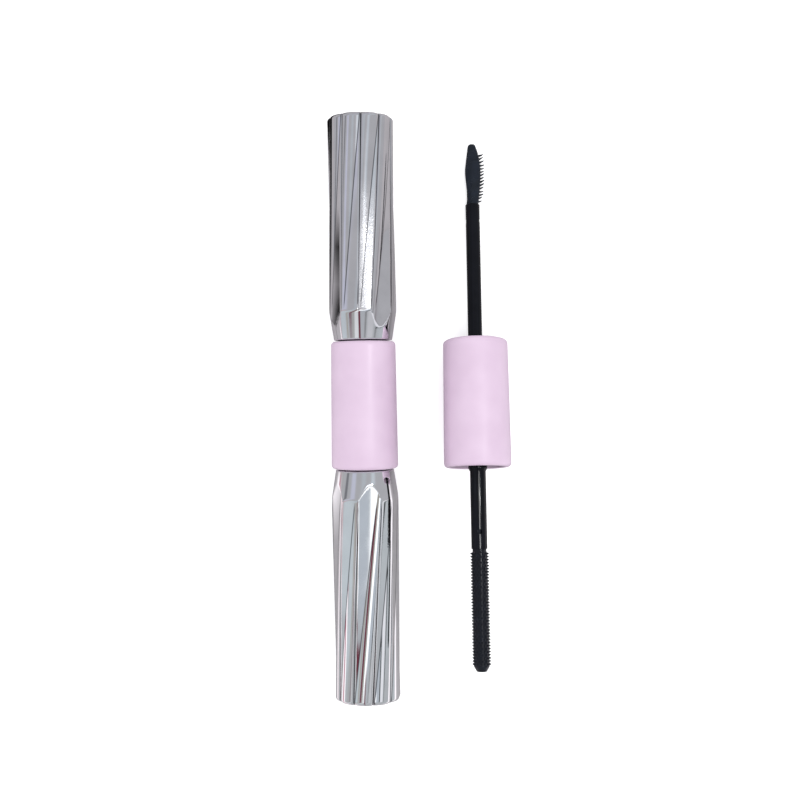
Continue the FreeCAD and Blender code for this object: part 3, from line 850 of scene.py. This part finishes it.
# Each panel: where its groove starts at the collar and at the closed end, in degrees, and
# whether its facet is cut flat, so that it ends in an arch at the neck.
COMB_PANELS = [
    (-128.0, -121.7, False),
    (-97.0, -85.7, False),
    (-76.4, -49.7, True),
    (-33.0, -13.7, False),
    (-2.0, 22.3, True),
    (39.0, 58.3, False),
    (75.0, 94.3, True),
    (116.0, 130.3, False),
    (150.0, 166.3, False),
    (189.0, 202.3, True),
]
BRUSH_PANELS = [
    (-11.0, 7.2, True),
    (30.0, 43.2, False),
    (56.0, 79.2, True),
    (97.0, 115.2, False),
    (128.0, 151.2, True),
    (169.0, 187.2, False),
    (200.0, 223.2, True),
    (241.0, 259.2, False),
    (272.0, 295.2, True),
    (313.0, 331.2, False),
]
SHELLS = {"comb": (56.4, COMB_PANELS, 1), "brush": (58.6, BRUSH_PANELS, None)}


def polar(radius, angle):
    """The point at a radius and an angle from the shell's axis."""
    return Vector((radius * math.cos(angle), radius * math.sin(angle)))


def soft_least(a, b, ease):
    """The smaller of two radii, eased where they are nearly equal."""
    near = max(ease - abs(a - b), 0) / ease
    return min(a, b) - near * near * ease / 4


class Panel:
    """One panel's outline at one share of the way to the closed end: a rounded rib on a facet."""

    def __init__(self, left, right, flat, share):
        self.left, self.right, self.flat, self.share = left, right, flat, share
        self.foot = RIDGE - FACET_DROP * share
        rib_share = CREASE_AT_COLLAR + (CREASE_AT_END - CREASE_AT_COLLAR) * share
        self.crease = left + (right - left) * rib_share
        start = polar(self.foot, left)
        self.chord = polar(self.foot, right) - start
        self.start = start
        end = polar(self.facet_at(self.crease), self.crease)
        across = end - start
        rise = math.sqrt(RIB_RADIUS**2 - across.length_squared / 4)
        self.centre = (start + end) / 2 - Vector((across.y, -across.x)).normalized() * rise

    def facet_at(self, angle):
        """The facet's radius at an angle: a chord, hollowed where it is cut flat at the neck."""
        way = polar(1.0, angle)
        straight = self.start.x * self.chord.y - self.start.y * self.chord.x
        straight /= way.x * self.chord.y - way.y * self.chord.x
        place = min(1.0, max(0.0, (angle - self.left) / (self.right - self.left)))
        fading = (1 - self.share) ** 2
        if self.flat:
            return straight - HOLLOW * fading * 4 * place * (1 - place)
        return straight + max(0.0, RIDGE - straight) * fading if 0 < place < 1 else straight

    def radius_at(self, angle):
        """The panel's radius at an angle: the further out of rib and facet, less the groove."""
        way = polar(1.0, angle)
        off = self.centre.x * way.y - self.centre.y * way.x
        rib = self.centre.dot(way) + math.sqrt(max(0.0, RIB_RADIUS**2 - off * off))
        radius = -soft_least(-rib, -self.facet_at(angle), CREASE_EASE)
        edge = min(angle - self.left, self.right - angle) * RIDGE / GROOVE_WIDTH
        if edge < 1:
            radius -= GROOVE_DEPTH * self.share * (1 - edge) ** 2
        return radius


def shell_heights(length):
    """Heights of the shell's rings: close at the neck and the closed end, wider between."""
    heights = [0.0, 0.05, 0.12, 0.22]
    while heights[-1] < CLOSE_RINGS[0]:
        heights.append(heights[-1] + CLOSE_RINGS[1])
    while heights[-1] < length - END_ROUNDING - 0.7:
        heights.append(heights[-1] + WIDE_RINGS)
    heights[-1] = length - END_ROUNDING - 0.15
    return heights + [length - END_ROUNDING]


def held(*values):
    """The least of the values, held between 0 and 1."""
    return max(0.0, min(1.0, *values))


def shell_form(length, panels, scuffed_panel):
    """The shell as a bmesh, with attributes for the painted shade along its grooves and creases and
    for its scuffed panel.
    """
    form = bmesh.new()
    scuffed = form.verts.layers.float.new("scuffed")
    groove_shade = form.verts.layers.float.new("groove_shade")

    def ring_at(height, inset):
        """The outline at a height, drawn in by an inset where the closed end is rounded."""
        ring = []
        share = height / length
        starts = [math.radians(neck + (end - neck) * share) for neck, end, flat in panels]
        starts.append(starts[0] + 2 * math.pi)
        limit = math.inf
        if height < NECK_CONE * 1.5:
            limit = NECK + (ENVELOPE - NECK) * height / NECK_CONE
        if height < LIP_HEIGHT:
            limit -= LIP_ROUNDING * (1 - height / LIP_HEIGHT) ** 2
        # The painted shade lines fade in above their start and fade out over the rounded closed
        # end.
        shade_fade = held((height - SHADE_LINE_START) / 2, 1 - inset / END_ROUNDING)
        worn = held((height - SCUFF_START) / 0.8, (SCUFF_END - height) / 14)
        for number, (neck, end, flat) in enumerate(panels):
            panel = Panel(starts[number], starts[number + 1], flat, share)
            width = panel.right - panel.left
            angles = [panel.left + (panel.crease - panel.left) * step for step in LOBE_STEPS]
            angles += [panel.crease + (panel.right - panel.crease) * step for step in FACET_STEPS]
            for angle in angles:
                radius = soft_least(panel.radius_at(angle), limit, NECK_EASE) - inset
                across = polar(radius, angle)
                vert = form.verts.new((across.x, across.y, SHELL_FOOT + height))
                edge = min(abs(angle - line) for line in (panel.left, panel.crease, panel.right))
                # Painted shade, dark along the grooves and along the crease of each panel.
                vert[groove_shade] = max(0.0, 1 - edge * RIDGE / SHADE_LINE_WIDTH) * shade_fade
                place = (angle - panel.left) / width
                if number == scuffed_panel:
                    vert[scuffed] = min(1.0, 9 * place, 9 * (1 - place)) * worn
                ring.append(vert)
        return ring

    rings = [ring_at(height, 0.0) for height in shell_heights(length)]
    for step in range(1, 8):
        angle = math.radians(90 * step / 7)
        height = length - END_ROUNDING * (1 - math.sin(angle))
        rings.append(ring_at(height, END_ROUNDING * (1 - math.cos(angle))))
    rings.append(ring_at(length, END_ROUNDING + 0.12))
    rings.append(ring_at(length, 4.0))
    columns = len(rings[0])
    turn = [math.atan2(vert.co.y, vert.co.x) for vert in rings[0]]
    rings.append([form.verts.new((0, 0, SHELL_FOOT + length))] * columns)
    floor = SHELL_FOOT + length - SHELL_FLOOR
    inside = [[form.verts.new((0, 0, floor))] * columns]
    for radius, height in (
        (SHELL_BORE, floor),
        (SHELL_BORE, SHELL_FOOT + 0.15),
        (SHELL_BORE + 0.15, SHELL_FOOT),
        (NECK - 0.45, SHELL_FOOT),
    ):
        places = [(radius * math.cos(a), radius * math.sin(a), height) for a in turn]
        inside.append([form.verts.new(place) for place in places])
    bridged(form, inside + rings)
    return form


def plating(name, tones):
    """Vacuum plating over moulded plastic: bright, a little wavy, smudged, scuffed in front, and
    darkened with painted shade along its grooves and creases.
    """
    material, place, skin, touch, tint = started(name, tones, (0.5, 5.0, 0.1), (7.0, 1.0))
    tree = material.node_tree
    shader = tree.nodes["Principled BSDF"].inputs
    painted = {}
    for label in ("groove_shade", "scuffed"):
        attribute = tree.nodes.new("ShaderNodeAttribute")
        attribute.attribute_name = label
        painted[label] = attribute.outputs["Fac"]
    # Painted shade: the plating's colour turns near black along the grooves and creases.
    painted_groove_shade = blended(tree, painted["groove_shade"], tint, (0.07, 0.07, 0.08))
    tree.links.new(painted_groove_shade, shader["Base Color"])
    speckle = ranged(tree, noise(tree, place, 4200.0, 2.0), 0.42, 0.62, 0.3, 0.7)
    marks = maths(tree, "MULTIPLY_ADD", touch["Hairlines"], 0.5, speckle)
    worn = maths(tree, "MULTIPLY", marks, painted["scuffed"])
    worn.node.use_clamp = True
    tree.links.new(ranged(tree, worn, 0.0, 1.0, 1.0, 0.4), shader["Metallic"])
    smudge = ranged(tree, touch["Smudge"], 0.0, 1.0, 0.03, 0.075)
    tree.links.new(maths(tree, "MULTIPLY_ADD", worn, 0.35, smudge), shader["Roughness"])
    wavy = bumped(tree, skin["Height"], 0.12, 0.01)
    tree.links.new(bumped(tree, worn, 0.5, 0.03, wavy), shader["Normal"])
    return material


# Painted shade: the comb end's plating is given a slightly darker tone than the brush end's.
PLATINGS = {
    "comb": plating("bright_plating_comb_end", ((0.80, 0.80, 0.82), (0.87, 0.87, 0.89))),
    "brush": plating("bright_plating_brush_end", ((0.84, 0.85, 0.86), (0.90, 0.91, 0.92))),
}
for end, (length, panels, scuffed_panel) in SHELLS.items():
    finished(
        shell_form(length, panels, scuffed_panel),
        f"{end}_plated_shell",
        CLOSED_UNIT @ ENDS[end],
        PLATINGS[end],
        f"{end}_vial",
        f"{end}_shell",
    )

# ------------------------------------------------------------------- the table, light, camera
# A white table under an even, bright studio sky. To glossy rays alone the table shows painted
# reflections in grey, pale, pink and near black in place of its white. Tall soft strips and dark
# gaps in that sky are what the plating and the gloss black show.

table = bmesh.new()
bmesh.ops.create_grid(table, x_segments=2, y_segments=2, size=2.0)
table_mesh = bpy.data.meshes.new("white_table")
table.to_mesh(table_mesh)
table.free()
white_table = bpy.data.objects.new("white_table", table_mesh)
bpy.context.scene.collection.objects.link(white_table)
white_table.location.z = -0.02 * MM
matt_white = bpy.data.materials.new("matt_white")
matt_white.use_nodes = True
paper = matt_white.node_tree
table_shader = paper.nodes["Principled BSDF"].inputs
table_shader["Roughness"].default_value = 0.9
table_shader["Specular IOR Level"].default_value = 0.0
table_shader["Emission Color"].default_value = (1.0, 1.0, 1.0, 1.0)
rays = paper.nodes.new("ShaderNodeLightPath").outputs
spot = paper.nodes.new("ShaderNodeSeparateXYZ")
paper.links.new(paper.nodes.new("ShaderNodeTexCoord").outputs["Object"], spot.inputs[0])
# Painted reflections, which only glossy rays see on the table: what the plating shows beside the
# brush end, as places across the table in millimetres, with their colours. Beside the comb end it
# is grey with a painted dark band, given as places along the table with the band's near and far
# edge.
GREY, PALE, PINK = (0.34, 0.325, 0.335), (0.80, 0.76, 0.78), (0.36, 0.15, 0.19)
REFLECTED_SURROUNDINGS = [(-90, PALE), (-80, PINK), (-58, PINK), (-52, PALE), (-42, PALE), (-34, GREY)]
REFLECTED_SURROUNDINGS += [(34, GREY), (42, PALE)]
PAINTED_DARK_BAND = [(20, 42.7, 43.9), (34, 36.3, 44.0), (45, 34.5, 51.0), (59, 32.6, 52.0)]
PAINTED_DARK_BAND += [(76, 27.6, 52.0)]
BAND_REACH = 100


def table_ramp(value, start, end, stops):
    """A colour that changes along a value, from stops of (millimetres, colour)."""
    ramp = paper.nodes.new("ShaderNodeValToRGB")
    elements = ramp.color_ramp.elements
    for number, (distance, colour) in enumerate(stops):
        share = (distance - start) / (end - start)
        stop = elements[number] if number < 2 else elements.new(share)
        stop.position = share
        stop.color = (*colour, 1.0)
    paper.links.new(ranged(paper, value, start * MM, end * MM), ramp.inputs["Fac"])
    return ramp.outputs["Color"]


brush_side = table_ramp(spot.outputs["X"], -100, 100, REFLECTED_SURROUNDINGS)
band_stops = [(y, (near / BAND_REACH, far / BAND_REACH, 0.0)) for y, near, far in PAINTED_DARK_BAND]
edges = paper.nodes.new("ShaderNodeSeparateColor")
paper.links.new(table_ramp(spot.outputs["Y"], 10, 90, band_stops), edges.inputs[0])
near_edge, far_edge = edges.outputs[:2]
from_tube = ranged(paper, spot.outputs["X"], 0.0, -BAND_REACH * MM)
past_near = ranged(paper, maths(paper, "SUBTRACT", from_tube, near_edge), -0.003, 0.003)
short_of_far = ranged(paper, maths(paper, "SUBTRACT", from_tube, far_edge), 0.03, -0.03)
in_band = maths(paper, "MULTIPLY", past_near, short_of_far)
comb_side = blended(paper, in_band, GREY, (0.004, 0.004, 0.004))
to_the_brush = ranged(paper, spot.outputs["Y"], -0.008, -0.016)
patch = blended(paper, to_the_brush, comb_side, brush_side)
# Painted reflections: glossy rays see these colours on the table, and all other rays see its white.
painted_reflections = blended(paper, rays["Is Glossy Ray"], (0.9, 0.9, 0.9), patch)
paper.links.new(painted_reflections, table_shader["Base Color"])
lifted = maths(paper, "MULTIPLY", rays["Is Camera Ray"], 0.3)
paper.links.new(lifted, table_shader["Emission Strength"])
table_mesh.materials.append(matt_white)

studio_sky = bpy.data.worlds.new("studio_sky")
bpy.context.scene.world = studio_sky
studio_sky.use_nodes = True
sky = studio_sky.node_tree
sky.nodes.clear()
direction = sky.nodes.new("ShaderNodeSeparateXYZ")
sky.links.new(sky.nodes.new("ShaderNodeTexCoord").outputs["Generated"], direction.inputs[0])
sideways, lengthways, up = direction.outputs
overhead = maths(sky, "MULTIPLY", maths(sky, "ARCTAN2", sideways, up), 180 / math.pi)


def sky_window(angle, middle, width, soft):
    """1 within a strip of the sky, easing to 0 at its edges. Angles are degrees from overhead."""
    away = maths(sky, "ABSOLUTE", maths(sky, "SUBTRACT", angle, middle))
    outer, inner = width / 2 + soft / 2, width / 2 - soft / 2
    return ranged(sky, away, outer, inner, easing="SMOOTHSTEP")


def sky_ramp(start, end):
    """0 to 1 between two places along the tube's own direction."""
    return ranged(sky, lengthways, start, end, easing="SMOOTHSTEP")


# For the comb end's side of the sky and for the brush end's: its own tone, how far its strips
# slant and start, and the middle, width, softness and colour of each strip.
SIDES = {
    "comb": (
        (0.44, 0.44, 0.465),
        (-150, 6),
        [
            (-88, 8, 5, (0.20, 0.20, 0.22)),
            (-66, 14, 8, (0.56, 0.57, 0.68)),
            (-30, 16, 12, (0.48, 0.51, 0.55)),
            (6, 16, 12, (0.56, 0.60, 0.65)),
            (80, 6, 4, (0.30, 0.28, 0.30)),
        ],
    ),
    "brush": (
        (0.50, 0.53, 0.56),
        (-217, -16.4),
        [
            (-92, 10, 4, (0.03, 0.02, 0.03)),
            (-74, 14, 6, (0.60, 0.42, 0.46)),
            (-47, 26, 8, (0.56, 0.61, 0.65)),
            (-26, 8, 4, (0.42, 0.40, 0.37)),
            (-8, 15, 5, (0.17, 0.05, 0.075)),
            (3, 11, 5, (0.40, 0.38, 0.35)),
            (17, 17, 5, (1.35, 1.38, 1.42)),
            (37, 20, 6, (0.50, 0.54, 0.60)),
            (51, 6, 3, (0.02, 0.02, 0.02)),
            (68, 20, 8, (0.85, 0.85, 0.90)),
            (86, 5, 3, (0.03, 0.03, 0.03)),
        ],
    ),
}
halves = {}
for end, (tone, (slant, start), strips) in SIDES.items():
    slanted = maths(sky, "MULTIPLY_ADD", lengthways, slant, start)
    slanted = maths(sky, "ADD", overhead, slanted)
    shade = tone
    for middle, width, soft, colour in strips:
        shade = blended(sky, sky_window(slanted, middle, width, soft), shade, colour)
    halves[end] = shade
seen = blended(sky, sky_ramp(-0.05, 0.03), halves["brush"], halves["comb"])
# Over both: a calm stretch and a dark red strip beyond the brush vial's end, and the bright key
# strip over the comb vial, which fades in two steps towards its closed end.
calm = maths(sky, "MULTIPLY", sky_ramp(-0.215, -0.24), 0.65)
seen = blended(sky, calm, seen, (0.44, 0.45, 0.47))
far_strip = maths(sky, "MULTIPLY", sky_window(overhead, -10, 7, 4), sky_ramp(-0.20, -0.24))
seen = blended(sky, far_strip, seen, (0.16, 0.04, 0.06))
key_strip = maths(sky, "MULTIPLY", sky_window(overhead, 19, 13, 9), sky_ramp(0.02, 0.05))
key_tail = maths(sky, "MULTIPLY", sky_ramp(0.22, 0.17), 0.12)
key_fade = maths(sky, "MULTIPLY_ADD", sky_ramp(0.155, 0.11), 0.88, key_tail)
key_strip = maths(sky, "MULTIPLY", key_strip, key_fade)
seen = blended(sky, key_strip, seen, (2.0, 2.05, 2.15))
glossy = sky.nodes.new("ShaderNodeLightPath").outputs["Is Glossy Ray"]
background = sky.nodes.new("ShaderNodeBackground")
sky.links.new(blended(sky, glossy, (1.28, 1.28, 1.3), seen), background.inputs["Color"])
sky_output = sky.nodes.new("ShaderNodeOutputWorld")
sky.links.new(background.outputs[0], sky_output.inputs["Surface"])


def stood(name, data, place, turn=(0, 0, 0)):
    """A lamp or a camera, at a place in metres, turned by angles in degrees."""
    thing = bpy.data.objects.new(name, data)
    thing.location = place
    thing.rotation_euler = Euler([math.radians(angle) for angle in turn])
    bpy.context.scene.collection.objects.link(thing)
    return thing


def panel_lamp(name, size, power, place, turn):
    """A rectangular lamp, with its size in metres and its power in watts."""
    light = bpy.data.lights.new(name, "AREA")
    light.shape = "RECTANGLE"
    light.size, light.size_y = size
    light.energy = power
    return stood(name, light, place, turn)


softbox = panel_lamp("overhead_softbox", (0.12, 0.5), 0.35, (0.03, 0.0, 0.5), (0, 3.4, 0))
softbox.visible_glossy = False

# A tall strip lamp for the gloss black pieces alone, which draws the fine light line down them.
strip_lamp = panel_lamp("strip_lamp", (0.075, 0.14), 0.95, (0.100, 0.010, 0.5), (-4, 10, 0))
strip_lamp.visible_camera = False
black_pieces = bpy.data.collections.new("gloss_black_pieces")
for piece in bpy.context.scene.objects:
    if piece.active_material in (gloss_black, blue_black_nubs, blue_black_leaf):
        black_pieces.objects.link(piece)
strip_lamp.light_linking.receiver_collection = black_pieces

small_lamp = bpy.data.lights.new("small_lamp", "POINT")
small_lamp.energy = 0.6
small_lamp.shadow_soft_size = 0.006
stood("small_lamp", small_lamp, (0.168, 0.04, 0.37))

lens = bpy.data.cameras.new("above")
lens.lens = 51.36
lens.sensor_width = 36
lens.clip_start = 0.01
camera = stood("above", lens, (-0.00106, 0.00615, 0.300), (-0.779, 0.785, -0.797))
bpy.context.scene.camera = camera
bpy.context.scene.view_settings.view_transform = "Standard"
